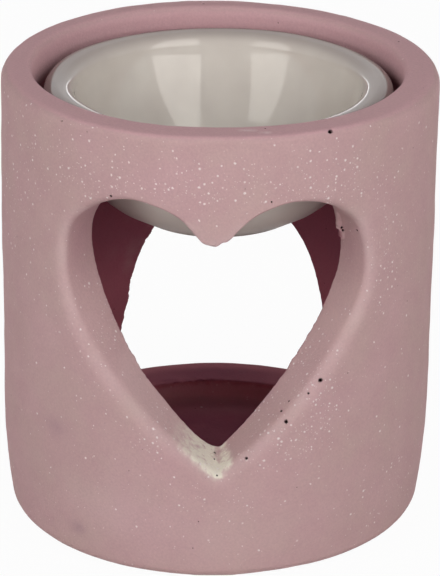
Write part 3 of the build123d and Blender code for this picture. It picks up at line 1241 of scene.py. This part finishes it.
def dishMasks(dish, shape, look):
    points, normals = meshPoints(dish.data) / mm, meshNormals(dish.data)
    x, y, z = points.T
    wide = np.hypot(x - shape["shift"], y)
    rimWide, rimHeight = shape["rim"][1][:2]
    # thin glaze and painted shade on the lip, more at the front than the back
    front, back = look["lipThinAndShade"]
    lip = front + (back - front) * ramp(y, *look["lipBack"])
    thinAndShade = lip * ramp(wide - rimWide, *look["lipTurn"])
    thinAndShade += (1 - lip) * ramp(wide - rimWide, *look["crestTurn"])
    thinAndShade *= ramp(z - rimHeight, *look["crestHeight"])
    size, height = look["footUneven"]
    bare = 1 - ramp(z + softNoise(points, size) * height, *look["footTurn"])
    bare *= (wide > look["footInside"]) & (z < look["footTop"])
    outward = (normals[:, 0] * (x - shape["shift"]) + normals[:, 1] * y) / np.maximum(wide, 1)
    under = ramp(outward - normals[:, 2], *look["underTurn"]) * (z < shape["seatHeight"])
    # painted shade on the underside, most at the left
    thinAndShade = np.maximum(thinAndShade, under * sum(share * ramp(x, *side) for side, share in look["underShade"]))
    return {"thinGlazeAndShade": thinAndShade, "bareFoot": bare, "underside": under}


def glazeMaterial(look):
    material, tree, shader, place = startMaterial("dishGlaze", look["roughness"], look["sheen"])
    clouds = useGroup(tree, fineGrain, place, look["clouds"])
    orangePeel = useGroup(tree, fineGrain, place, look["orangePeel"])
    flecks = useGroup(tree, specks, place, look["flecks"])
    color = blendColor(tree, scaled(tree, clouds, *look["cloudShare"]), look["glaze"], look["thinAndShade"])
    color = blendColor(tree, scaled(tree, flecks, look["fleckStrength"]), color, look["thinAndShade"])
    color = coatColor(tree, color, look, look["coats"])
    tree.links.new(color, shader.inputs["Base Color"])
    rough = scaled(tree, clouds, look["roughSpread"], look["roughness"])
    under = scaled(tree, mask(tree, "underside"), look["undersideRoughness"])
    bare = scaled(tree, mask(tree, "bareFoot"), look["bareRoughness"])
    rough = mathNode(tree, "MAXIMUM", mathNode(tree, "ADD", rough, under), bare)
    tree.links.new(rough, shader.inputs["Roughness"])
    bumpFrom(tree, shader, [(orangePeel, look["orangePeelHeight"])])
    return material


for maskName, values in dishMasks(oilDish, dishShape, glazeLook).items():
    storeMask(oilDish.data, maskName, values)
oilDish.data.materials.append(glazeMaterial(glazeLook))
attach(oilDish, "dish")
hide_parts("dish")
print("dish turned")

padShape = {"radius": 5.0, "bottom": 0.0, "top": 1.6, "round": 0.35, "around": 48}


def buildPad(node, shape):
    low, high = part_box(node)
    middle = (low + high) / 2
    outline = [
        (0, shape["bottom"], 0), (shape["radius"], shape["bottom"], shape["round"]),
        (shape["radius"], shape["top"], shape["round"]), (0, shape["top"], 0),
    ]
    pad = lathe(node + "_rubber", rounded(outline), shape["around"])
    points = meshPoints(pad.data) * mm
    points[:, :2] += (middle.x, middle.y)
    setPoints(pad.data, points)
    return pad


padLook = {
    "rubber": (0.028, 0.028, 0.030),
    "dust": (0.110, 0.095, 0.095),
    "roughness": 0.75,
    "roughSpread": 0.12,
    "sheen": 0.3,
    "grain": (0.35, 2.0, 1.5),
    "grainShare": (0.4, 0.1),
    "grainHeight": 0.04,        # mm
    "specks": (0.9, 0.25, 0.4),
    "speckStrength": 0.6,
}


def rubberMaterial(look):
    material, tree, shader, place = startMaterial("padRubber", look["roughness"], look["sheen"])
    grain = useGroup(tree, fineGrain, place, look["grain"])
    dust = useGroup(tree, specks, place, look["specks"])
    color = blendColor(tree, scaled(tree, grain, *look["grainShare"]), look["rubber"], look["dust"])
    color = blendColor(tree, scaled(tree, dust, look["speckStrength"]), color, look["dust"])
    tree.links.new(color, shader.inputs["Base Color"])
    rough = scaled(tree, grain, look["roughSpread"], look["roughness"])
    tree.links.new(rough, shader.inputs["Roughness"])
    bumpFrom(tree, shader, [(grain, look["grainHeight"])])
    return material


padRubber = rubberMaterial(padLook)
for node in sorted(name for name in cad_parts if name.startswith("pad_")):
    pad = buildPad(node, padShape)
    pad.data.materials.append(padRubber)
    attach(pad, "burner")
    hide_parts(node)
print("pads placed")
